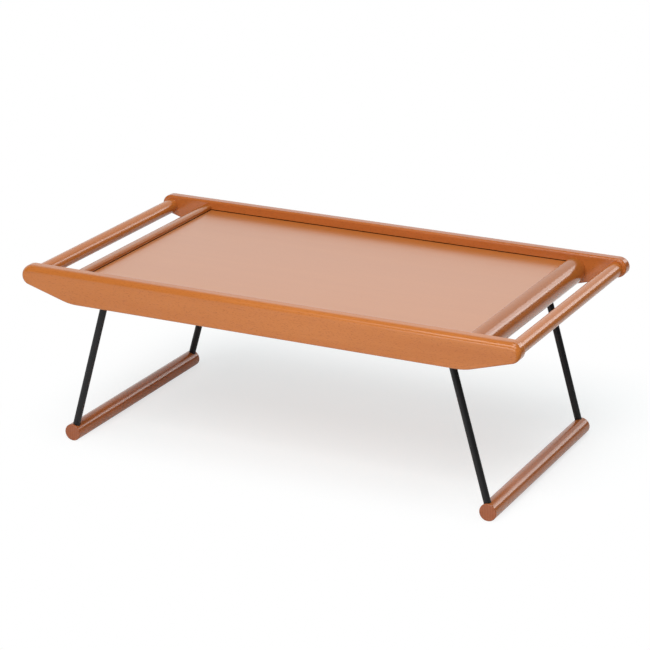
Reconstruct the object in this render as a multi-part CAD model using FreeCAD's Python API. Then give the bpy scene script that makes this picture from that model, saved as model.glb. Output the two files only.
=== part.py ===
import FreeCAD, Part
import math
import os

# Bed tray table: a beech tray with a thin panel, two grip bars and two folding legs.
# Each leg is a pair of bent steel rods with a round wooden foot bar.
# Millimetres. The origin is on the floor under the middle of the tray, legs open.
# X runs along the tray, -Y is the front and +Z is up.

Vector = FreeCAD.Vector

# Driving dimensions: the whole table
tray_length = 700.0            # nose tip to nose tip of a side rail
tray_width = 383.0             # over both side rails
tray_height = 248.0            # floor to the top of the side rails, legs open

# Side rails
rail_thickness = 19.0
rail_depth = 44.0
nose_reach = 72.0              # end of the straight underside to the nose tip
nose_slope = 16.3              # degrees, from the underside up to each nose
underside_blend = 70.0         # radius where the underside turns into the slope
top_outer_round = 8.0
top_inner_round = 3.0
lower_edge_round = 2.5

# End rails: flat inner face, half-round outer side
hand_gap = 31.65               # clear between a grip bar and its end rail
end_rail_depth = 35.0
end_rail_flat = 5.85           # flat top and bottom, before the half round starts
end_rail_drop = 6.4            # side rail top to end rail top
end_rail_edge_round = 4.0

# Panel, held in grooves all round
panel_thickness = 5.0
panel_drop = 13.0              # side rail top to panel top
groove_depth = 6.0
groove_slack_above = 0.8       # dark line between panel and rail
groove_slack_edge = 0.5
panel_bevel_drop = 1.0         # the panel's top edges are bevelled to enter the grooves
panel_bevel_margin = 0.5       # rail face to the start of the bevel

# Grip bars, with turned spigots in the side rails
handle_diameter = 19.5
handle_inset = 14.4            # nose tip to bar axis
handle_drop = 15.0             # side rail top to bar axis
spigot_diameter = 12.0
spigot_length = 11.0

# Legs
foot_diameter = 23.0
foot_overhang = 6.5            # foot bar past a rod's axis
foot_edge_round = 1.2
foot_inset = 50.0              # nose tip to the foot bar's axis, legs open
leg_lean = 16.0                # degrees outwards from upright, legs open
rod_diameter = 9.5
rod_bend_radius = 13.0         # centre line of the bend into the side rail
bend_to_flange = 3.0           # straight rod between its bend and the bush
rod_end_chamfer = 0.8
rod_past_foot_axis = 5.0       # how far a rod goes past the foot bar's axis

# Bushes in the side rails
bush_wall = 1.7
bush_length = 12.5             # sleeve inside the side rail
bush_flange_diameter = 17.0
bush_flange_thickness = 1.5
rod_end_gap = 1.0              # rod end to the end of the sleeve

# Stop battens under the panel, against the end rails
batten_overhang = 7.0          # batten past a rod's axis
batten_recess = 1.0            # side rail underside to batten underside
batten_screws_each = 3
batten_screw_margin = 50.0     # batten end to its first screw
batten_screw_drop = 16.0       # panel underside to screw axis
screw_diameter = 4.0
screw_head_diameter = 8.0
screw_in_end_rail = 13.4
screw_head_sink = 0.3          # head below the batten's face
screw_recess_width = 1.1
screw_recess_depth = 1.6

# Hidden dowels between end rails and side rails
dowel_diameter = 8.0
dowel_length = 30.0
dowel_in_side_rail = 12.0
dowel_groove_wall = 1.0        # wood between panel groove and dowel
dowel_pitch = 16.0             # between the two dowels of a corner
dowel_chamfer = 0.8

# Clearances
running_gap = 0.05             # rod in bush, on the radius
glue_gap = 0.05                # glued or pressed round pieces, on the radius
hole_end_gap = 0.5             # behind a dowel, spigot or rod end
stop_gap = 0.3                 # open leg's rod to stop batten
cut_margin = 1.0               # how far a cutter runs past the face it cuts
same_place = 0.01              # closer than this is the same place

# Places that follow from these
rail_top = tray_height
rail_bottom = rail_top - rail_depth
outer_face = tray_width / 2
inner_face = outer_face - rail_thickness
underside_length = tray_length - 2 * nose_reach
panel_top = rail_top - panel_drop
panel_bottom = panel_top - panel_thickness
end_rail_top = rail_top - end_rail_drop
end_rail_radius = end_rail_depth / 2
end_rail_middle = end_rail_top - end_rail_radius
handle_x = tray_length / 2 - handle_inset
handle_z = rail_top - handle_drop
end_rail_outside = handle_x - handle_diameter / 2 - hand_gap
well_length = 2 * (end_rail_outside - end_rail_radius - end_rail_flat)
well_end = well_length / 2
dowel_x = well_end + groove_depth + dowel_groove_wall + dowel_diameter / 2
foot_radius = foot_diameter / 2
foot_spread = tray_length - 2 * foot_inset
foot_x = foot_spread / 2
rod_radius = rod_diameter / 2
rod_y = inner_face - bush_flange_thickness - bend_to_flange - rod_bend_radius
foot_length = 2 * (rod_y + foot_overhang)
batten_length = 2 * (rod_y + batten_overhang)
lean = math.radians(leg_lean)
pivot_z = panel_bottom - foot_radius   # a folded leg lies level, its foot bar under the panel
pivot_x = foot_x - (pivot_z - foot_radius) * math.tan(lean)
bush_bore_radius = rod_radius + running_gap
bush_radius = bush_bore_radius + bush_wall


def line(start, end):
    return Part.LineSegment(start, end).toShape()


def arc(start, middle, end):
    return Part.Arc(start, middle, end).toShape()


def solid_of(edges, direction):
    """A closed outline, pushed along a direction."""
    return Part.Face(Part.Wire(edges)).extrude(direction)


def block(low, high):
    size = high - low
    return Part.makeBox(size.x, size.y, size.z, low)


def bar(radius, start, end):
    """A round bar from one point to another."""
    along = end - start
    return Part.makeCylinder(radius, along.Length, start, along)


def chamfered_bar(radius, start, end, chamfer):
    solid = bar(radius, start, end)
    rims = [edge for edge in solid.Edges if len(edge.Vertexes) == 1]
    return solid.makeChamfer(chamfer, rims)


def side_rail_outline(y):
    """Boat outline: straight top, round noses, and slopes down to a straight underside."""
    slope = math.radians(nose_slope)
    rise = math.tan(slope)
    tip = tray_length / 2
    corner = underside_length / 2
    reach = rail_depth - (tip - corner) * rise
    nose_radius = reach / (1 + 1 / math.cos(slope) - rise)
    nose_x = tip - nose_radius
    nose_z = rail_top - nose_radius
    blend_run = underside_blend * math.tan(slope / 2)

    def point(x, z):
        return Vector(x, y, z)

    def nose_point(side, angle):
        out = nose_radius * math.cos(angle)
        return point(side * (nose_x + out), nose_z + nose_radius * math.sin(angle))

    def blend_point(side, angle):
        out = corner - blend_run + underside_blend * math.sin(angle)
        return point(side * out, rail_bottom + underside_blend * (1 - math.cos(angle)))

    nose_end = slope - math.pi / 2
    nose_middle = slope / 2
    edges = [line(point(-nose_x, rail_top), point(nose_x, rail_top))]
    edges.append(arc(nose_point(1, math.pi / 2), nose_point(1, nose_middle), nose_point(1, nose_end)))
    edges.append(line(nose_point(1, nose_end), blend_point(1, slope)))
    edges.append(arc(blend_point(1, slope), blend_point(1, slope / 2), blend_point(1, 0)))
    edges.append(line(blend_point(1, 0), blend_point(-1, 0)))
    edges.append(arc(blend_point(-1, 0), blend_point(-1, slope / 2), blend_point(-1, slope)))
    edges.append(line(blend_point(-1, slope), nose_point(-1, nose_end)))
    edges.append(arc(nose_point(-1, nose_end), nose_point(-1, nose_middle), nose_point(-1, math.pi / 2)))
    return edges


def rounded_side_rail(side):
    """The rail blank. Its top edges are rounder than its lower edges, with the change in the noses."""
    blank = solid_of(side_rail_outline(side * inner_face), Vector(0, side * rail_thickness, 0))
    document = FreeCAD.newDocument("side_rail")
    base = document.addObject("Part::Feature", "blank")
    base.Shape = blank
    rounds = []
    for number, edge in enumerate(blank.Edges, start=1):
        ends = [vertex.Point for vertex in edge.Vertexes]
        if abs(ends[0].y - ends[1].y) > rail_thickness / 2:
            continue
        outer = abs(edge.CenterOfMass.y) > (outer_face + inner_face) / 2
        top_round = top_outer_round if outer else top_inner_round
        radii = [top_round if end.z > rail_top - lower_edge_round else lower_edge_round for end in ends]
        rounds.append((number, radii[0], radii[1]))
    fillet = document.addObject("Part::Fillet", "rounded")
    fillet.Base = base
    fillet.Edges = rounds
    document.recompute()
    shape = fillet.Shape.copy()
    FreeCAD.closeDocument(document.Name)
    return shape


def side_rail(side):
    """side is -1 for the front rail and 1 for the back rail."""
    rail = rounded_side_rail(side)
    groove_end = well_end + groove_depth
    near = side * (inner_face - cut_margin)
    deep = side * (inner_face + groove_depth)
    low = Vector(-groove_end, min(near, deep), panel_bottom)
    high = Vector(groove_end, max(near, deep), panel_top + groove_slack_above)
    cuts = [block(low, high)]
    for end in (-1, 1):
        cuts.append(socket(side, end * handle_x, handle_z, spigot_diameter / 2, spigot_length))
        cuts.append(socket(side, end * pivot_x, pivot_z, bush_radius, bush_length))
        for dowel_z in dowel_heights():
            cuts.append(socket(side, end * dowel_x, dowel_z, dowel_diameter / 2, dowel_in_side_rail))
    return rail.cut(Part.makeCompound(cuts))


def socket(side, x, z, radius, depth):
    """A blind hole in a side rail's inner face, with room for a round piece and its end gap."""
    start = Vector(x, side * (inner_face - cut_margin), z)
    end = Vector(x, side * (inner_face + depth + hole_end_gap), z)
    return bar(radius + glue_gap, start, end)


def dowel_heights():
    return [end_rail_middle - dowel_pitch / 2, end_rail_middle + dowel_pitch / 2]


def end_rail(end):
    """end is -1 for the left rail and 1 for the right rail."""
    low = end_rail_top - end_rail_depth
    flat_end = well_end + end_rail_flat

    def point(x, z):
        return Vector(end * x, -inner_face, z)

    edges = [line(point(well_end, low), point(well_end, end_rail_top))]
    edges.append(line(point(well_end, end_rail_top), point(flat_end, end_rail_top)))
    outermost = point(flat_end + end_rail_radius, end_rail_middle)
    edges.append(arc(point(flat_end, end_rail_top), outermost, point(flat_end, low)))
    edges.append(line(point(flat_end, low), point(well_end, low)))
    rail = solid_of(edges, Vector(0, 2 * inner_face, 0))
    inner_edges = [edge for edge in rail.Edges if abs(edge.CenterOfMass.x - end * well_end) < same_place]
    long_edges = [edge for edge in inner_edges if edge.Length > inner_face]
    rail = rail.makeFillet(end_rail_edge_round, long_edges)
    near = end * (well_end - cut_margin)
    deep = end * (well_end + groove_depth)
    groove_low = Vector(min(near, deep), -inner_face, panel_bottom)
    groove_high = Vector(max(near, deep), inner_face, panel_top + groove_slack_above)
    cuts = [block(groove_low, groove_high)]
    depth = dowel_length - dowel_in_side_rail + hole_end_gap
    for side in (-1, 1):
        for dowel_z in dowel_heights():
            start = Vector(end * dowel_x, side * (inner_face + cut_margin), dowel_z)
            finish = Vector(end * dowel_x, side * (inner_face - depth), dowel_z)
            cuts.append(bar(dowel_diameter / 2 + glue_gap, start, finish))
    for y in screw_places():
        cuts.append(screw_hole(end, y))
    return rail.cut(Part.makeCompound(cuts))


def rectangle(half_length, half_width, z):
    corners = []
    for x, y in ((-1, -1), (1, -1), (1, 1), (-1, 1), (-1, -1)):
        corners.append(Vector(x * half_length, y * half_width, z))
    return Part.makePolygon(corners)


def tray_panel():
    """Bevelled round its top, so that the flat top ends just inside the rails."""
    half_length = well_end + groove_depth - groove_slack_edge
    half_width = inner_face + groove_depth - groove_slack_edge
    bevel_bottom = panel_top - panel_bevel_drop
    low = Vector(-half_length, -half_width, panel_bottom)
    slab = block(low, Vector(half_length, half_width, bevel_bottom))
    edge = rectangle(half_length, half_width, bevel_bottom)
    flat = rectangle(well_end - panel_bevel_margin, inner_face - panel_bevel_margin, panel_top)
    return slab.fuse(Part.makeLoft([edge, flat], True, True)).removeSplitter()


def handle(end):
    """A grip bar between the side rails, turned down to a spigot at both ends."""
    x = end * handle_x
    grip = bar(handle_diameter / 2, Vector(x, -inner_face, handle_z), Vector(x, inner_face, handle_z))
    reach = inner_face + spigot_length
    front_end = Vector(x, -reach, handle_z)
    back_end = Vector(x, reach, handle_z)
    spigots = chamfered_bar(spigot_diameter / 2, front_end, back_end, dowel_chamfer)
    return grip.fuse(spigots).removeSplitter()


def corner_dowels():
    dowels = []
    for end in (-1, 1):
        for side in (-1, 1):
            for z in dowel_heights():
                outer_end = inner_face + dowel_in_side_rail
                start = Vector(end * dowel_x, side * outer_end, z)
                finish = Vector(end * dowel_x, side * (outer_end - dowel_length), z)
                dowels.append(chamfered_bar(dowel_diameter / 2, start, finish, dowel_chamfer))
    return Part.makeCompound(dowels)


def leg_direction(end):
    """Down along an open leg."""
    return Vector(end * math.sin(lean), 0, -math.cos(lean))


def leg_rod(end, side):
    """Straight from the foot bar up to the pivot axis, then bent outwards into the side rail."""
    down = leg_direction(end)
    sideways = Vector(0, side, 0)
    corner = Vector(end * pivot_x, side * rod_y, pivot_z)
    foot_end = Vector(end * foot_x, side * rod_y, foot_radius) + down * rod_past_foot_axis
    bend_start = corner + down * rod_bend_radius
    bend_end = corner + sideways * rod_bend_radius
    bend_centre = bend_start + sideways * rod_bend_radius
    bend_middle = bend_centre + (corner - bend_centre).normalize() * rod_bend_radius
    tip = Vector(corner.x, side * (inner_face + bush_length - rod_end_gap), pivot_z)
    bend = arc(bend_start, bend_middle, bend_end)
    path = Part.Wire([line(foot_end, bend_start), bend, line(bend_end, tip)])
    section = Part.Wire([Part.Circle(foot_end, down, rod_radius).toShape()])
    rod = path.makePipeShell([section], True, False)
    rims = []
    for edge in rod.Edges:
        middle = edge.CenterOfMass
        if min((middle - tip).Length, (middle - foot_end).Length) < same_place:
            rims.append(edge)
    return rod.makeChamfer(rod_end_chamfer, rims)


def foot(end):
    """A round floor bar with two slanted blind holes for the rods."""
    start = Vector(end * foot_x, -foot_length / 2, foot_radius)
    solid = bar(foot_radius, start, Vector(end * foot_x, foot_length / 2, foot_radius))
    rims = [edge for edge in solid.Edges if len(edge.Vertexes) == 1]
    solid = solid.makeFillet(foot_edge_round, rims)
    down = leg_direction(end)
    holes = []
    for side in (-1, 1):
        axis_point = Vector(end * foot_x, side * rod_y, foot_radius)
        hole_end = axis_point + down * (rod_past_foot_axis + hole_end_gap)
        holes.append(bar(rod_radius + glue_gap, axis_point - down * foot_diameter, hole_end))
    return solid.cut(Part.makeCompound(holes))


def pivot_bush(end, side):
    """A flanged sleeve in the side rail's inner face, round the bent rod end."""
    def at(y):
        return Vector(end * pivot_x, side * y, pivot_z)

    sleeve = bar(bush_radius, at(inner_face), at(inner_face + bush_length))
    flange = bar(bush_flange_diameter / 2, at(inner_face - bush_flange_thickness), at(inner_face))
    bore_start = at(inner_face - bush_flange_thickness - cut_margin)
    bore = bar(bush_bore_radius, bore_start, at(inner_face + bush_length + cut_margin))
    return sleeve.fuse(flange).removeSplitter().cut(bore)


def screw_z():
    return panel_bottom - batten_screw_drop


def screw_places():
    first = batten_screw_margin - batten_length / 2
    pitch = -2 * first / (batten_screws_each - 1)
    return [first + pitch * number for number in range(batten_screws_each)]


def stop_face_x(z):
    """Where an open leg's outer rod side, plus the stop gap, stands at a height."""
    axis_x = foot_x - (z - foot_radius) * math.tan(lean)
    return axis_x + (rod_radius + stop_gap) / math.cos(lean)


def screw_head_x():
    """The screw head's outer rim lies just inside the batten's slanted face."""
    return stop_face_x(screw_z() - screw_head_diameter / 2) + screw_head_sink


def screw_shape(end, y, gap):
    """A countersunk screw along X, grown by a gap on the radius."""
    head_depth = (screw_head_diameter - screw_diameter) / 2
    base = Vector(end * screw_head_x(), y, screw_z())
    outwards = Vector(end, 0, 0)
    screw_length = well_end + screw_in_end_rail - screw_head_x()
    head_radius = screw_head_diameter / 2 + gap
    shank_radius = screw_diameter / 2 + gap
    head = Part.makeCone(head_radius, shank_radius, head_depth, base, outwards)
    return head.fuse(bar(shank_radius, base, base + outwards * (screw_length + gap)))


def screw_hole(end, y):
    """Room for the screw, and for its head to go in from the slanted face."""
    base = Vector(end * screw_head_x(), y, screw_z())
    mouth = bar(screw_head_diameter / 2 + glue_gap, base - Vector(end * screw_head_diameter, 0, 0), base)
    return screw_shape(end, y, glue_gap).fuse(mouth)


def cross_recess(end, y):
    face = end * screw_head_x()
    deep = face + end * screw_recess_depth
    low_x = min(face, deep)
    high_x = max(face, deep)
    arm = screw_head_diameter / 4
    half = screw_recess_width / 2
    slots = []
    for wide, tall in ((half, arm), (arm, half)):
        low = Vector(low_x, y - wide, screw_z() - tall)
        slots.append(block(low, Vector(high_x, y + wide, screw_z() + tall)))
    return slots[0].fuse(slots[1])


def batten_screws():
    screws = []
    for end in (-1, 1):
        for y in screw_places():
            screw = screw_shape(end, y, 0)
            screws.append(screw.cut(cross_recess(end, y)))
    return Part.makeCompound(screws)


def stop_batten(end):
    """Its inner face slants like an open leg, so both rods lean on it."""
    low = rail_bottom + batten_recess

    def point(x, z):
        return Vector(end * x, -batten_length / 2, z)

    corners = [point(well_end, low), point(well_end, panel_bottom)]
    corners.append(point(stop_face_x(panel_bottom), panel_bottom))
    corners.append(point(stop_face_x(low), low))
    edges = [line(corners[number - 1], corners[number]) for number in range(len(corners))]
    batten = solid_of(edges, Vector(0, batten_length, 0))
    holes = [screw_hole(end, y) for y in screw_places()]
    return batten.cut(Part.makeCompound(holes))


def all_pieces():
    ends = {"left": -1, "right": 1}
    sides = {"front": -1, "back": 1}
    pieces = {"tray_panel": tray_panel()}
    pieces["corner_dowels"] = corner_dowels()
    pieces["batten_screws"] = batten_screws()
    for side_name, side in sides.items():
        pieces["side_rail_" + side_name] = side_rail(side)
    for end_name, end in ends.items():
        pieces["end_rail_" + end_name] = end_rail(end)
        pieces["handle_" + end_name] = handle(end)
        pieces["stop_batten_" + end_name] = stop_batten(end)
        pieces["foot_" + end_name] = foot(end)
        for side_name, side in sides.items():
            corner_name = end_name + "_" + side_name
            pieces["leg_rod_" + corner_name] = leg_rod(end, side)
            pieces["pivot_bush_" + corner_name] = pivot_bush(end, side)
    return pieces


os.makedirs("parts", exist_ok=True)
for node, shape in all_pieces().items():
    if not shape.isValid():
        print("not valid:", node)
    shape.exportStep("parts/" + node + ".step")
print("pivot axis at x", round(pivot_x, 3), "z", round(pivot_z, 3))
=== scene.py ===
import bpy
import math
from mathutils import Matrix, Vector


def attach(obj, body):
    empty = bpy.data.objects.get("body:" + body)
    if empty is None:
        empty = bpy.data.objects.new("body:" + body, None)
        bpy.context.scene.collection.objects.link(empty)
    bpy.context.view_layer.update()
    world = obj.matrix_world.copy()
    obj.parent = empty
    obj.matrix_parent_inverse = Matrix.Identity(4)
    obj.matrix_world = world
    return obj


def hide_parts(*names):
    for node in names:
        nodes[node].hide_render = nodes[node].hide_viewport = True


# Bed tray table, in metres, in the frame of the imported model: origin on the floor under the
# middle of the tray, X along the tray, -Y the front, +Z up.

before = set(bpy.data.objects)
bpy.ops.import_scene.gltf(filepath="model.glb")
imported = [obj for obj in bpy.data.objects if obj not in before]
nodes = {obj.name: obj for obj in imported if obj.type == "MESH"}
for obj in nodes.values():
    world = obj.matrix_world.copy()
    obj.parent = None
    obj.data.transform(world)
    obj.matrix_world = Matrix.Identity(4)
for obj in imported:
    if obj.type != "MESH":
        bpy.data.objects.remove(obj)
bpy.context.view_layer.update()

ENDS = {"left": -1, "right": 1}
SIDES = {"front": -1, "back": 1}

# Sizes that the solids have too
INNER_FACE_Y = 0.1725                  # side rail, inner face
WELL_END = 0.27085                     # end rail, inner face
GROOVE_Z = (0.2290, 0.2359)            # panel groove, its lower and upper face
GROOVE_PAST_WELL = (-0.0005, 0.0066)   # and from where to where outside the well's edge
END_FACE_Z = (0.2360, 0.2402)          # flat inner face of an end rail above the panel
END_FACE_PAST_WELL = (-0.0005, 0.0012)
FOOT_X = 0.300
FOOT_RADIUS = 0.0115
FOOT_LENGTH = 0.323
ROD_Y = 0.155
ROD_RADIUS = 0.00475
ROD_BEND_RADIUS = 0.013
ROD_PAST_FOOT_AXIS = 0.005
LEG_LEAN = math.radians(16.0)
PIVOT_Z = 0.2185
PIVOT_X = FOOT_X - (PIVOT_Z - FOOT_RADIUS) * math.tan(LEG_LEAN)
ROD_TIP_Y = 0.184
SCREW_HEAD_X = 0.248635
SCREW_ROW = 0.224                      # first to last screw of a batten
SCREWS_EACH = 3
SCREW_Z = 0.214
SCREW_LENGTH = 0.035615
SCREW_HEAD_RADIUS = 0.004
SCREW_RADIUS = 0.002

# Finer shape than the solids have
ROD_SIDES = 40
ROD_BEND_STEPS = 20
ROD_RIM = 0.0008                       # rounding of the rim at a rod's end
ROUNDING_STEPS = 3
ROUNDED_FROM_ANGLE = math.radians(50)
SHARP_FROM_ANGLE = math.radians(40)
SCREW_SIDES = 48
SCREW_BLUNTNESS = 0.7                  # radius at the end, as a share of the shank's
RECESS_WIDTH = 0.0011
RECESS_SPAN = 0.004
RECESS_DEPTH = 0.0016

# Camera at the photograph's angle
IMAGE_SIDE = 650                       # pixels
FOCAL_LENGTH = 2408.8                  # pixels
AXIS_X = 358.4                         # pixel where the optical axis meets the picture
AXIS_Y = 289.0
SENSOR_WIDTH = 36.0                    # millimetres
CAMERA_PLACE = Vector((1.3472, -2.6744, 1.2130))
CAMERA_YAW = math.radians(25.964)      # from +Y towards -X
CAMERA_PITCH = math.radians(-18.541)
CAMERA_ROLL = math.radians(0.03)


def add_camera():
    data = bpy.data.cameras.new("camera")
    data.sensor_width = SENSOR_WIDTH
    data.lens = SENSOR_WIDTH * FOCAL_LENGTH / IMAGE_SIDE
    data.shift_x = (IMAGE_SIDE / 2 - AXIS_X) / IMAGE_SIDE
    data.shift_y = (AXIS_Y - IMAGE_SIDE / 2) / IMAGE_SIDE
    camera = bpy.data.objects.new("camera", data)
    bpy.context.scene.collection.objects.link(camera)
    yaw = Matrix.Rotation(CAMERA_YAW, 4, "Z")
    pitch = Matrix.Rotation(math.pi / 2 + CAMERA_PITCH, 4, "X")
    roll = Matrix.Rotation(CAMERA_ROLL, 4, "Z")
    camera.matrix_world = Matrix.Translation(CAMERA_PLACE) @ yaw @ pitch @ roll
    bpy.context.scene.camera = camera


# Nodes
def add(tree, kind, values=None, **settings):
    """A new shader or geometry node. A value that is a socket is linked, any other is set."""
    made = tree.nodes.new(kind)
    for name, setting in settings.items():
        setattr(made, name, setting)
    for name, value in (values or {}).items():
        if isinstance(value, bpy.types.NodeSocket):
            tree.links.new(value, made.inputs[name])
        else:
            made.inputs[name].default_value = value
    return made


def calc(tree, operation, *values):
    return add(tree, "ShaderNodeMath", dict(enumerate(values)), operation=operation).outputs[0]


def vector_calc(tree, operation, *values):
    made = add(tree, "ShaderNodeVectorMath", dict(enumerate(values)), operation=operation)
    return made.outputs["Vector"]


def blend(tree, factor, first, second):
    return add(tree, "ShaderNodeMix", {0: factor, 2: first, 3: second}).outputs[0]


def blend_colour(tree, factor, first, second):
    return add(tree, "ShaderNodeMix", {0: factor, 6: first, 7: second}, data_type="RGBA").outputs[2]


def fade(tree, value, limits, levels=(0.0, 1.0)):
    """Goes softly from the first level to the second while the value goes between the limits."""
    return add(tree, "ShaderNodeMapRange", {
        "Value": value, "From Min": limits[0], "From Max": limits[1],
        "To Min": levels[0], "To Max": levels[1]}, interpolation_type="SMOOTHSTEP").outputs[0]


def ramp(tree, factor, stops):
    """Grey values between 0 and 1 at places between 0 and 1."""
    made = add(tree, "ShaderNodeValToRGB", {"Fac": factor})
    elements = made.color_ramp.elements
    while len(elements) < len(stops):
        elements.new(0.5)
    for element, (place, level) in zip(elements, stops):
        element.position = place
        element.color = (level, level, level, 1)
    return made.outputs["Color"]


def object_place(tree):
    return add(tree, "ShaderNodeTexCoord").outputs["Object"]


def new_material(name):
    material = bpy.data.materials.new(name)
    material.use_nodes = True
    material.node_tree.nodes.clear()
    return material


def finish_material(material, shader):
    add(material.node_tree, "ShaderNodeOutputMaterial", {"Surface": shader.outputs[0]})
    return material


# Pieces made with Geometry Nodes
def node_group(name, inputs):
    """A geometry tree with these named inputs, its input node and the identifier of each input."""
    tree = bpy.data.node_groups.new(name, "GeometryNodeTree")
    tree.interface.new_socket("Geometry", in_out="OUTPUT", socket_type="NodeSocketGeometry")
    identifiers = {}
    for label, kind in inputs.items():
        socket = tree.interface.new_socket(label, in_out="INPUT", socket_type="NodeSocket" + kind)
        identifiers[label] = socket.identifier
    return tree, add(tree, "NodeGroupInput").outputs, identifiers


def finish_group(tree, geometry, material):
    real = add(tree, "GeometryNodeRealizeInstances", {"Geometry": geometry})
    dressed = add(tree, "GeometryNodeSetMaterial", {"Geometry": real.outputs[0], "Material": material})
    add(tree, "NodeGroupOutput", {"Geometry": dressed.outputs[0]})


def grown(name, group, values, rim=0.0):
    """A plain mesh object from a geometry tree, with its sharp rims rounded."""
    tree, identifiers = group
    seed = bpy.data.objects.new(name + "_seed", bpy.data.meshes.new(name + "_seed"))
    bpy.context.scene.collection.objects.link(seed)
    modifier = seed.modifiers.new("tree", "NODES")
    modifier.node_group = tree
    for label, value in values.items():
        modifier[identifiers[label]] = value
    if rim:
        bevel = seed.modifiers.new("rim", "BEVEL")
        bevel.width = rim
        bevel.segments = ROUNDING_STEPS
        bevel.limit_method = "ANGLE"
        bevel.angle_limit = ROUNDED_FROM_ANGLE
    graph = bpy.context.evaluated_depsgraph_get()
    mesh = bpy.data.meshes.new_from_object(seed.evaluated_get(graph), depsgraph=graph)
    bpy.data.objects.remove(seed)
    mesh.shade_smooth()
    mesh.set_sharp_from_angle(angle=SHARP_FROM_ANGLE)
    piece = bpy.data.objects.new(name, mesh)
    bpy.context.scene.collection.objects.link(piece)
    return piece


def bent_rod_group():
    """A round rod through three points, its middle corner bent to a radius."""
    tree, given, identifiers = node_group("bent_rod", {
        "Foot End": "Vector", "Corner": "Vector", "Tip": "Vector", "Bend Radius": "Float",
        "Rod Radius": "Float", "Sides": "Int", "Finish": "Material"})
    straight = add(tree, "GeometryNodeCurvePrimitiveLine", {
        "Start": given["Foot End"], "End": given["Tip"]})
    three = add(tree, "GeometryNodeResampleCurve", {"Curve": straight.outputs[0], "Count": 3})
    number = add(tree, "GeometryNodeInputIndex").outputs[0]
    middle = add(tree, "FunctionNodeCompare", {2: number, 3: 1}, data_type="INT", operation="EQUAL")
    route = add(tree, "GeometryNodeSetPosition", {
        "Geometry": three.outputs[0], "Selection": middle.outputs[0], "Position": given["Corner"]})
    bent = add(tree, "GeometryNodeFilletCurve", {
        "Curve": route.outputs[0], "Radius": given["Bend Radius"], "Count": ROD_BEND_STEPS}, mode="POLY")
    section = add(tree, "GeometryNodeCurvePrimitiveCircle", {
        "Resolution": given["Sides"], "Radius": given["Rod Radius"]})
    rod = add(tree, "GeometryNodeCurveToMesh", {
        "Curve": bent.outputs[0], "Profile Curve": section.outputs[0], "Fill Caps": True})
    finish_group(tree, rod.outputs[0], given["Finish"])
    return tree, identifiers


def add_leg_rods(material):
    group = bent_rod_group()
    foot_end_x = FOOT_X + ROD_PAST_FOOT_AXIS * math.sin(LEG_LEAN)
    foot_end_z = FOOT_RADIUS - ROD_PAST_FOOT_AXIS * math.cos(LEG_LEAN)
    for end_name, end in ENDS.items():
        for side_name, side in SIDES.items():
            name = "leg_rod_" + end_name + "_" + side_name
            rod = grown(name + "_bent", group, {
                "Foot End": (end * foot_end_x, side * ROD_Y, foot_end_z),
                "Corner": (end * PIVOT_X, side * ROD_Y, PIVOT_Z),
                "Tip": (end * PIVOT_X, side * ROD_TIP_Y, PIVOT_Z), "Bend Radius": ROD_BEND_RADIUS,
                "Rod Radius": ROD_RADIUS, "Sides": ROD_SIDES, "Finish": material}, rim=ROD_RIM)
            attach(rod, "leg_" + end_name)
            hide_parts(name)


def screw_group():
    """Countersunk screws with a cross recess, driven outwards in two rows."""
    tree, given, identifiers = node_group("countersunk_screws", {
        "Rows Apart": "Float", "Row Length": "Float", "Screws Each": "Int", "Height": "Float",
        "Screw Length": "Float", "Head Radius": "Float", "Shank Radius": "Float", "Finish": "Material"})
    grid = add(tree, "GeometryNodeMeshGrid", {
        "Size X": given["Rows Apart"], "Size Y": given["Row Length"], "Vertices X": 2,
        "Vertices Y": given["Screws Each"]})
    lift = add(tree, "ShaderNodeCombineXYZ", {"Z": given["Height"]})
    places = add(tree, "GeometryNodeSetPosition", {
        "Geometry": grid.outputs[0], "Offset": lift.outputs[0]})
    position = add(tree, "GeometryNodeInputPosition").outputs[0]
    where = add(tree, "ShaderNodeSeparateXYZ", {"Vector": position})
    quarter = calc(tree, "MULTIPLY", calc(tree, "SIGN", where.outputs["X"]), math.pi / 2)
    turn = add(tree, "ShaderNodeCombineXYZ", {"Y": quarter})
    head_depth = calc(tree, "SUBTRACT", given["Head Radius"], given["Shank Radius"])
    head = add(tree, "GeometryNodeMeshCone", {
        "Vertices": SCREW_SIDES, "Radius Bottom": given["Head Radius"],
        "Radius Top": given["Shank Radius"], "Depth": head_depth})
    inside = calc(tree, "MULTIPLY", head_depth, 0.5)
    shank = add(tree, "GeometryNodeMeshCone", {
        "Vertices": SCREW_SIDES, "Radius Bottom": given["Shank Radius"],
        "Radius Top": calc(tree, "MULTIPLY", given["Shank Radius"], SCREW_BLUNTNESS),
        "Depth": calc(tree, "SUBTRACT", given["Screw Length"], inside)})
    start = add(tree, "ShaderNodeCombineXYZ", {"Z": inside})
    moved = add(tree, "GeometryNodeTransform", {
        "Geometry": shank.outputs[0], "Translation": start.outputs[0]})
    screw = add(tree, "GeometryNodeMeshBoolean", operation="UNION")
    for solid in (head, moved):
        tree.links.new(solid.outputs[0], screw.inputs["Mesh 2"])
    recessed = add(tree, "GeometryNodeMeshBoolean", {"Mesh 1": screw.outputs[0]}, operation="DIFFERENCE")
    for width, span in ((RECESS_WIDTH, RECESS_SPAN), (RECESS_SPAN, RECESS_WIDTH)):
        cutter = add(tree, "GeometryNodeMeshCube", {"Size": (width, span, 2 * RECESS_DEPTH)})
        tree.links.new(cutter.outputs[0], recessed.inputs["Mesh 2"])
    screws = add(tree, "GeometryNodeInstanceOnPoints", {
        "Points": places.outputs[0], "Instance": recessed.outputs[0], "Rotation": turn.outputs[0]})
    finish_group(tree, screws.outputs[0], given["Finish"])
    return tree, identifiers


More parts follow.
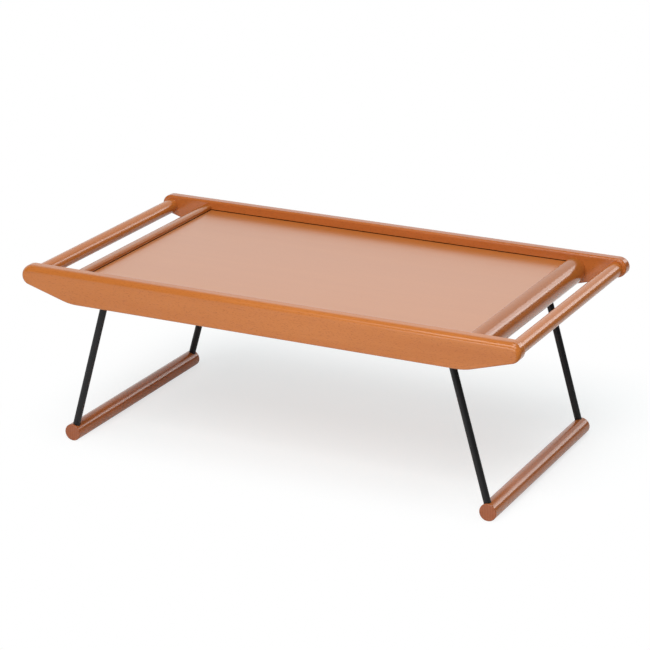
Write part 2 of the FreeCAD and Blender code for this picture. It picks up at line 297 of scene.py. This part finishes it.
def add_screws(material):
    screws = grown("batten_screws_crossed", screw_group(), {
        "Rows Apart": 2 * SCREW_HEAD_X, "Row Length": SCREW_ROW, "Screws Each": SCREWS_EACH,
        "Height": SCREW_Z, "Screw Length": SCREW_LENGTH, "Head Radius": SCREW_HEAD_RADIUS,
        "Shank Radius": SCREW_RADIUS, "Finish": material})
    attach(screws, "tray")
    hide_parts("batten_screws")


# Stained and lacquered beech. Colours are linear.
STAIN_PALE = (0.630, 0.205, 0.042, 1)
STAIN_DEEP = (0.550, 0.165, 0.030, 1)
# Brown of the wood's flecks, also used as painted shade on an end rail's inner face
FLECK_AND_SHADE_BROWN = (0.340, 0.085, 0.014, 1)
FOOT_PALE = (0.50, 0.160, 0.044, 1)
FOOT_DEEP = (0.43, 0.130, 0.034, 1)
# A darker copy of the side rails' stain: painted shade for the back rail's inner face
BACK_SHADED_PALE = (0.60, 0.175, 0.039, 1)
BACK_SHADED_DEEP = (0.52, 0.142, 0.029, 1)
PANEL_PALE = (0.620, 0.214, 0.048, 1)
PANEL_DEEP = (0.562, 0.184, 0.039, 1)
END_GRAIN_PALE = (0.42, 0.130, 0.052, 1)
END_GRAIN_DEEP = (0.36, 0.100, 0.036, 1)
# Painted shadow in the panel groove
GROOVE_PAINTED_SHADOW = (0.035, 0.008, 0.003, 1)
END_RAIL_STAIN = 0.82                  # end rails and battens, as a share of the side rails' colour
# Noise cells per metre, along and across the grain
FIGURE_CELLS = (3.0, 45.0)
FIBRE_CELLS = (30.0, 900.0)
FLECK_CELLS = (260.0, 1500.0)
RAW_FIBRE_CELLS = (40.0, 900.0)
GRAIN_NOISE_ROUGHNESS = 0.55
FIBRE_DEPTH = 0.22                     # how much of the deep stain the fibres take
GRAIN_RELIEF = 0.0004
LACQUER_GLOSS = 0.5
ROUGHNESS_SPREAD = 0.01
END_FACE_PAINTED_SHADE = 0.5                   # how much painted shade, in the flecks' brown, an end rail's inner face takes
END_FACE_DULLNESS = 0.8                # and how much of its gloss it loses
# End grain of the foot bars: from where to where about the end face, its cells and their mix
END_GRAIN_INSIDE = 0.0008
END_GRAIN_OUTSIDE = 0.001
RINGS_PER_METRE = 90.0
PORES_PER_METRE = 900.0
PORE_SHARE = 0.6


def darker(colour, level):
    return tuple(part * level for part in colour[:3]) + (1,)


def grain_coordinates(tree, along):
    """Object coordinates turned so that the first axis runs with the grain."""
    turns = {"X": (0, 0, 0), "Y": (0, 0, -math.pi / 2)}
    return add(tree, "ShaderNodeMapping", {
        "Vector": object_place(tree), "Rotation": turns[along]}).outputs[0]


def stretched_noise(tree, place, along, across, detail, distortion=0.0):
    """Noise with its cells per metre along and across the grain."""
    scaled = add(tree, "ShaderNodeMapping", {"Vector": place, "Scale": (along, across, across)})
    return add(tree, "ShaderNodeTexNoise", {
        "Vector": scaled.outputs[0], "Scale": 1.0, "Detail": detail, "Roughness": GRAIN_NOISE_ROUGHNESS,
        "Distortion": distortion}).outputs["Fac"]


def fine_noise(tree, place, cells, detail):
    return add(tree, "ShaderNodeTexNoise", {
        "Vector": place, "Scale": cells, "Detail": detail}).outputs["Fac"]


def within(tree, value, low, high):
    """1 where a value lies between two limits, 0 elsewhere."""
    return calc(tree, "COMPARE", value, (low + high) / 2, (high - low) / 2)


def round_the_well(tree, point, past_well, heights):
    """1 in a band round the tray's well, given from the well's edge outwards and by height."""
    past = [calc(tree, "SUBTRACT", calc(tree, "ABSOLUTE", point.outputs[axis]), face)
            for axis, face in (("X", WELL_END), ("Y", INNER_FACE_Y))]
    outwards = within(tree, calc(tree, "MAXIMUM", *past), *past_well)
    return calc(tree, "MULTIPLY", outwards, within(tree, point.outputs["Z"], *heights))


def beech_figure(tree, place, pale, deep, figure, fleck):
    """The stained wood's colour, and the fibres and the flecks in it."""
    bands = stretched_noise(tree, place, *FIGURE_CELLS, detail=5.0, distortion=0.4)
    fibres = stretched_noise(tree, place, *FIBRE_CELLS, detail=3.0)
    flecks = stretched_noise(tree, place, *FLECK_CELLS, detail=1.0)
    broad = ramp(tree, bands, [(0.3, 0.5 - figure / 2), (0.7, 0.5 + figure / 2)])
    tone = blend_colour(tree, broad, deep, pale)
    tone = blend_colour(tree, ramp(tree, fibres, [(0.35, FIBRE_DEPTH), (0.6, 0.0)]), tone, deep)
    tone = blend_colour(tree, ramp(tree, flecks, [(0.60, 0.0), (0.68, fleck)]), tone, FLECK_AND_SHADE_BROWN)
    return tone, fibres, flecks


def paint_shade_in_well(tree, tone, shade_end_face):
    """Paints shadow into the panel groove and, on an end rail, paints shade onto its inner face and
    dulls its gloss. Also gives the gloss left.
    """
    point = add(tree, "ShaderNodeSeparateXYZ", {"Vector": object_place(tree)})
    groove = round_the_well(tree, point, GROOVE_PAST_WELL, GROOVE_Z)
    tone = blend_colour(tree, groove, tone, GROOVE_PAINTED_SHADOW)
    shine = calc(tree, "SUBTRACT", 1.0, groove)
    if shade_end_face:
        face = round_the_well(tree, point, END_FACE_PAST_WELL, END_FACE_Z)
        tone = blend_colour(tree, calc(tree, "MULTIPLY", face, END_FACE_PAINTED_SHADE), tone, FLECK_AND_SHADE_BROWN)
        shine = calc(tree, "SUBTRACT", shine, calc(tree, "MULTIPLY", face, END_FACE_DULLNESS))
    return tone, shine


def show_end_grain(tree, tone):
    """A foot bar's flat ends show growth rings and pores, where the stain sinks in."""
    place = object_place(tree)
    point = add(tree, "ShaderNodeSeparateXYZ", {"Vector": place})
    from_middle = calc(tree, "ABSOLUTE", point.outputs["Y"])
    end = FOOT_LENGTH / 2
    ends = within(tree, from_middle, end - END_GRAIN_INSIDE, end + END_GRAIN_OUTSIDE)
    rings = add(tree, "ShaderNodeTexWave", {
        "Vector": place, "Scale": RINGS_PER_METRE, "Distortion": 2.5, "Detail": 2.0},
        wave_type="RINGS", rings_direction="Y").outputs["Fac"]
    mottle = blend(tree, PORE_SHARE, rings, fine_noise(tree, place, PORES_PER_METRE, 3.0))
    cut = blend_colour(tree, ramp(tree, mottle, [(0.2, 0.0), (0.8, 1.0)]), END_GRAIN_DEEP,
                       END_GRAIN_PALE)
    return blend_colour(tree, ends, tone, cut)


def lacquered_beech(name, along, pale=STAIN_PALE, deep=STAIN_DEEP, figure=1.0, fleck=0.5,
                    roughness=0.14, ior=1.5, coat=0.0, coat_roughness=0.12, bump=0.06, well=True,
                    shade_end_face=False, foot_ends=False):
    """Stained beech under clear lacquer: broad figure, fine fibres and short dark flecks."""
    material = new_material(name)
    tree = material.node_tree
    place = grain_coordinates(tree, along)
    tone, fibres, flecks = beech_figure(tree, place, pale, deep, figure, fleck)
    gloss = LACQUER_GLOSS
    film = coat
    # Painted shadow in the panel groove, and painted shade on an end rail's inner face
    if well:
        tone, shine = paint_shade_in_well(tree, tone, shade_end_face)
        gloss = calc(tree, "MULTIPLY", shine, LACQUER_GLOSS)
        if coat:
            film = calc(tree, "MULTIPLY", shine, coat)
    if foot_ends:
        tone = show_end_grain(tree, tone)
    relief = add(tree, "ShaderNodeBump", {
        "Height": calc(tree, "SUBTRACT", fibres, flecks), "Strength": bump, "Distance": GRAIN_RELIEF})
    rough = add(tree, "ShaderNodeMapRange", {
        "Value": fibres, "To Min": roughness - ROUGHNESS_SPREAD,
        "To Max": roughness + ROUGHNESS_SPREAD})
    shader = add(tree, "ShaderNodeBsdfPrincipled", {
        "Base Color": tone, "Roughness": rough.outputs[0], "Normal": relief.outputs[0], "IOR": ior,
        "Specular IOR Level": gloss, "Coat Weight": film, "Coat Roughness": coat_roughness})
    return finish_material(material, shader)


def raw_beech():
    """Unfinished wood of the dowels, pale and dull."""
    material = new_material("beech_unfinished")
    tree = material.node_tree
    fibres = stretched_noise(tree, grain_coordinates(tree, "Y"), *RAW_FIBRE_CELLS, detail=3.0)
    tone = blend_colour(tree, fibres, (0.56, 0.36, 0.19, 1), (0.74, 0.53, 0.31, 1))
    relief = add(tree, "ShaderNodeBump", {"Height": fibres, "Strength": 0.1, "Distance": GRAIN_RELIEF})
    shader = add(tree, "ShaderNodeBsdfPrincipled", {
        "Base Color": tone, "Roughness": 0.7, "Normal": relief.outputs[0], "Specular IOR Level": 0.3})
    return finish_material(material, shader)


def black_nylon():
    """Moulded bushes with a fine matt skin."""
    material = new_material("black_nylon")
    tree = material.node_tree
    skin = fine_noise(tree, object_place(tree), 1400.0, 3.0)
    tone = blend_colour(tree, skin, (0.006, 0.006, 0.006, 1), (0.013, 0.013, 0.013, 1))
    rough = add(tree, "ShaderNodeMapRange", {"Value": skin, "To Min": 0.45, "To Max": 0.65})
    relief = add(tree, "ShaderNodeBump", {"Height": skin, "Strength": 0.08, "Distance": 0.0002})
    shader = add(tree, "ShaderNodeBsdfPrincipled", {
        "Base Color": tone, "Roughness": rough.outputs[0], "Normal": relief.outputs[0]})
    return finish_material(material, shader)


def zinc_plate():
    """Bright zinc with the light cloudiness of a plating bath."""
    material = new_material("zinc_plate")
    tree = material.node_tree
    clouds = fine_noise(tree, object_place(tree), 600.0, 4.0)
    tone = blend_colour(tree, clouds, (0.42, 0.40, 0.33, 1), (0.60, 0.58, 0.50, 1))
    rough = add(tree, "ShaderNodeMapRange", {"Value": clouds, "To Min": 0.22, "To Max": 0.42})
    shader = add(tree, "ShaderNodeBsdfPrincipled", {
        "Base Color": tone, "Roughness": rough.outputs[0], "Metallic": 1.0})
    return finish_material(material, shader)


def black_steel():
    """Matt black coat of the leg rods, with a fine grit."""
    material = new_material("matt_black_steel")
    tree = material.node_tree
    grit = fine_noise(tree, object_place(tree), 2500.0, 2.0)
    tone = blend_colour(tree, grit, (0.008, 0.008, 0.009, 1), (0.018, 0.018, 0.019, 1))
    relief = add(tree, "ShaderNodeBump", {"Height": grit, "Strength": 0.15, "Distance": 0.0003})
    shader = add(tree, "ShaderNodeBsdfPrincipled", {
        "Base Color": tone, "Roughness": 0.45, "Normal": relief.outputs[0],
        "Specular IOR Level": 0.25})
    return finish_material(material, shader)


def dress(starts, material):
    """Gives a material to every solid whose name starts so."""
    for name in nodes:
        if name.startswith(starts):
            for slot in nodes[name].material_slots:
                slot.material = material


def dress_all():
    steel = black_steel()
    zinc = zinc_plate()
    dress("leg_rod", steel)
    dress("batten_screws", zinc)
    dress("pivot_bush", black_nylon())
    dress("corner_dowels", raw_beech())
    dress("side_rail_front", lacquered_beech("beech_along_x", "X"))
    # The back rail has a darker copy of the side rails' stain: painted shade for its inner face
    dress("side_rail_back", lacquered_beech("beech_back_rail_shaded", "X", pale=BACK_SHADED_PALE, deep=BACK_SHADED_DEEP))
    # End rails: painted shadow in the groove and painted shade on the inner face
    dress(("end_rail", "stop_batten"), lacquered_beech(
        "beech_along_y", "Y", pale=darker(STAIN_PALE, END_RAIL_STAIN),
        deep=darker(STAIN_DEEP, END_RAIL_STAIN), roughness=0.17, bump=0.02, shade_end_face=True))
    dress("handle", lacquered_beech("beech_grip", "Y", roughness=0.20, bump=0.004, well=False))
    dress("foot", lacquered_beech(
        "beech_foot", "Y", pale=FOOT_PALE, deep=FOOT_DEEP, roughness=0.19, ior=1.45, bump=0.01,
        well=False, foot_ends=True))
    dress("tray_panel", lacquered_beech(
        "veneer", "X", pale=PANEL_PALE, deep=PANEL_DEEP, figure=0.35, fleck=0.1, roughness=0.33,
        coat=0.68, coat_roughness=0.25))
    add_leg_rods(steel)
    add_screws(zinc)


# Studio
WORLD_FILL = 0.25
CEILING_GLOSS = 0.25                   # what gloss shows of the dim ceiling
BACKDROP_GLOSS = 1.12                  # of the white backdrop
DARK_GLOSS = 0.10                      # and of the dark right side and front
# From where to where the backdrop gives way to each of them, in a direction of length one
BACKDROP_TO_CEILING = (0.68, 0.85)     # Z
BACKDROP_TO_RIGHT = (-0.05, 0.08)      # X, from a line that leans right going back
BACKDROP_TO_FRONT = (0.0, -0.3)        # Y
RIGHT_LEAN = 0.32                      # X by Y of that line
FLOOR_BOUNCE = 0.72                    # floor paint for the light that it throws up
FLOOR_SEEN = (0.500, 0.523, 0.526, 1)  # floor paint in the picture
FLOOR_GLOW = (0.592, 0.609, 0.615, 1)
FLOOR_GLOW_IN_GLOSS = 0.35
FLOOR_SHADE_MIDDLE = (0, 0.10, 0)      # the shaded part of the seen floor, and half its length and width
FLOOR_SHADE_HALF = (0.24, 0.13, 0)
FLOOR_FADE = 0.22                      # metres from there to plain white
FLOOR_DARK_FROM = (0.34, 0.62)         # metres to the right, where the floor's reflection goes dark
FLOOR_DARK_LEVEL = 0.1
FLOOR_DARK_LEAN = 0.3                  # metres more to the right for each metre back
FLOOR_REACH = 30.0
# Lamps are rows of softboxes side by side: from x, to x, level. The front rows grow dimmer to
# the left.
LEFT_STEPS = [(-1.25, -1.0, 0.12), (-1.0, -0.75, 0.40)]
KEY_STEPS = LEFT_STEPS + [(-0.75, 1.35, 1.0)]
LOW_STEPS = LEFT_STEPS + [(-0.75, 0.45, 1.0)]
RIM_STEPS = [(1.33, 2.33, 0.5), (2.33, 3.33, 1.0)]
KEY_RADIANCE = 4.6
LOW_RADIANCE = 4.4
OVERHEAD_RADIANCE = 3.5
RIM_RADIANCE = 5.0


def to_the_right(tree, point, lean):
    """How far a point or direction is to the right of a line that leans right going back."""
    line = calc(tree, "MULTIPLY", point.outputs["Y"], lean)
    return calc(tree, "SUBTRACT", point.outputs["X"], line)


def pale_floor():
    """Paint that fades to plain white away from the table. In reflections it is painted darker at the
    right, a painted shade for the dim room there.
    """
    material = new_material("pale_floor")
    tree = material.node_tree
    path = add(tree, "ShaderNodeLightPath")
    seen = path.outputs["Is Camera Ray"]
    in_gloss = path.outputs["Is Glossy Ray"]
    place = object_place(tree)
    point = add(tree, "ShaderNodeSeparateXYZ", {"Vector": place})
    right = to_the_right(tree, point, FLOOR_DARK_LEAN)
    lit = fade(tree, right, FLOOR_DARK_FROM, (1.0, FLOOR_DARK_LEVEL))
    tone = blend_colour(tree, seen, blend(tree, in_gloss, FLOOR_BOUNCE, lit), FLOOR_SEEN)
    paint = add(tree, "ShaderNodeBsdfDiffuse", {"Color": tone})
    strength = blend(tree, in_gloss, seen, calc(tree, "MULTIPLY", lit, FLOOR_GLOW_IN_GLOSS))
    glow = add(tree, "ShaderNodeEmission", {"Color": FLOOR_GLOW, "Strength": strength})
    shaded = add(tree, "ShaderNodeAddShader", {0: paint.outputs[0], 1: glow.outputs[0]})
    away = vector_calc(tree, "ABSOLUTE", vector_calc(tree, "SUBTRACT", place, FLOOR_SHADE_MIDDLE))
    away = vector_calc(tree, "SUBTRACT", away, FLOOR_SHADE_HALF)
    away = vector_calc(tree, "MAXIMUM", away, (0, 0, 0))
    distance = add(tree, "ShaderNodeVectorMath", {0: away}, operation="LENGTH").outputs["Value"]
    faded = calc(tree, "MULTIPLY", fade(tree, distance, (0.0, FLOOR_FADE)), seen)
    white = add(tree, "ShaderNodeEmission", {"Strength": 1.0})
    shader = add(tree, "ShaderNodeMixShader", {0: faded, 1: shaded.outputs[0], 2: white.outputs[0]})
    return finish_material(material, shader)


def add_floor():
    corners = [(-FLOOR_REACH, -FLOOR_REACH, 0), (FLOOR_REACH, -FLOOR_REACH, 0),
               (FLOOR_REACH, FLOOR_REACH, 0), (-FLOOR_REACH, FLOOR_REACH, 0)]
    mesh = bpy.data.meshes.new("floor")
    mesh.from_pydata(corners, [], [(0, 1, 2, 3)])
    mesh.materials.append(pale_floor())
    floor = bpy.data.objects.new("floor", mesh)
    bpy.context.scene.collection.objects.link(floor)


def room_in_gloss(tree):
    """What a reflection shows of the room, by its direction."""
    direction = add(tree, "ShaderNodeTexCoord").outputs["Generated"]
    towards = add(tree, "ShaderNodeSeparateXYZ", {"Vector": direction})
    backdrop = fade(tree, towards.outputs["Z"], BACKDROP_TO_CEILING, (BACKDROP_GLOSS, CEILING_GLOSS))
    dark_right = fade(tree, to_the_right(tree, towards, RIGHT_LEAN), BACKDROP_TO_RIGHT)
    dark_front = fade(tree, towards.outputs["Y"], BACKDROP_TO_FRONT)
    return blend(tree, calc(tree, "MAXIMUM", dark_right, dark_front), backdrop, DARK_GLOSS)


def add_world():
    world = bpy.data.worlds.new("studio")
    bpy.context.scene.world = world
    world.use_nodes = True
    tree = world.node_tree
    tree.nodes.clear()
    path = add(tree, "ShaderNodeLightPath")
    fill = blend(tree, path.outputs["Is Glossy Ray"], WORLD_FILL, room_in_gloss(tree))
    seen = calc(tree, "MAXIMUM", path.outputs["Is Camera Ray"], path.outputs["Is Transmission Ray"])
    level = blend(tree, seen, fill, 1.0)
    shader = add(tree, "ShaderNodeBackground", {"Color": (1, 1, 1, 1), "Strength": level})
    add(tree, "ShaderNodeOutputWorld", {"Surface": shader.outputs[0]})


def add_softbox(name, place, target, width, height, radiance):
    data = bpy.data.lights.new(name, "AREA")
    data.shape = "RECTANGLE"
    data.size = width
    data.size_y = height
    data.energy = radiance * math.pi * width * height
    lamp = bpy.data.objects.new(name, data)
    bpy.context.scene.collection.objects.link(lamp)
    lamp.location = place
    lamp.rotation_euler = (Vector(target) - Vector(place)).to_track_quat("-Z", "Y").to_euler()


def add_lamp_row(name, steps, y, z, target_z, height, radiance):
    for number, (left, right, level) in enumerate(steps):
        middle = (left + right) / 2
        add_softbox(f"{name}_{number}", (middle, y, z), (middle, 0, target_z), right - left, height,
                    level * radiance)


def add_studio():
    add_floor()
    add_world()
    add_lamp_row("key", KEY_STEPS, y=-1.75, z=1.95, target_z=0.1, height=0.9, radiance=KEY_RADIANCE)
    add_lamp_row("low", LOW_STEPS, y=-2.4, z=0.42, target_z=0.24, height=0.5, radiance=LOW_RADIANCE)
    add_softbox("overhead", place=(0.6, -0.3, 2.4), target=(0.3, 0, 0.1), width=1.2, height=1.2,
                radiance=OVERHEAD_RADIANCE)
    add_lamp_row("rim", RIM_STEPS, y=5.0, z=2.25, target_z=0.2, height=1.6, radiance=RIM_RADIANCE)
    bpy.context.scene.view_settings.view_transform = "Standard"


dress_all()
add_camera()
add_studio()
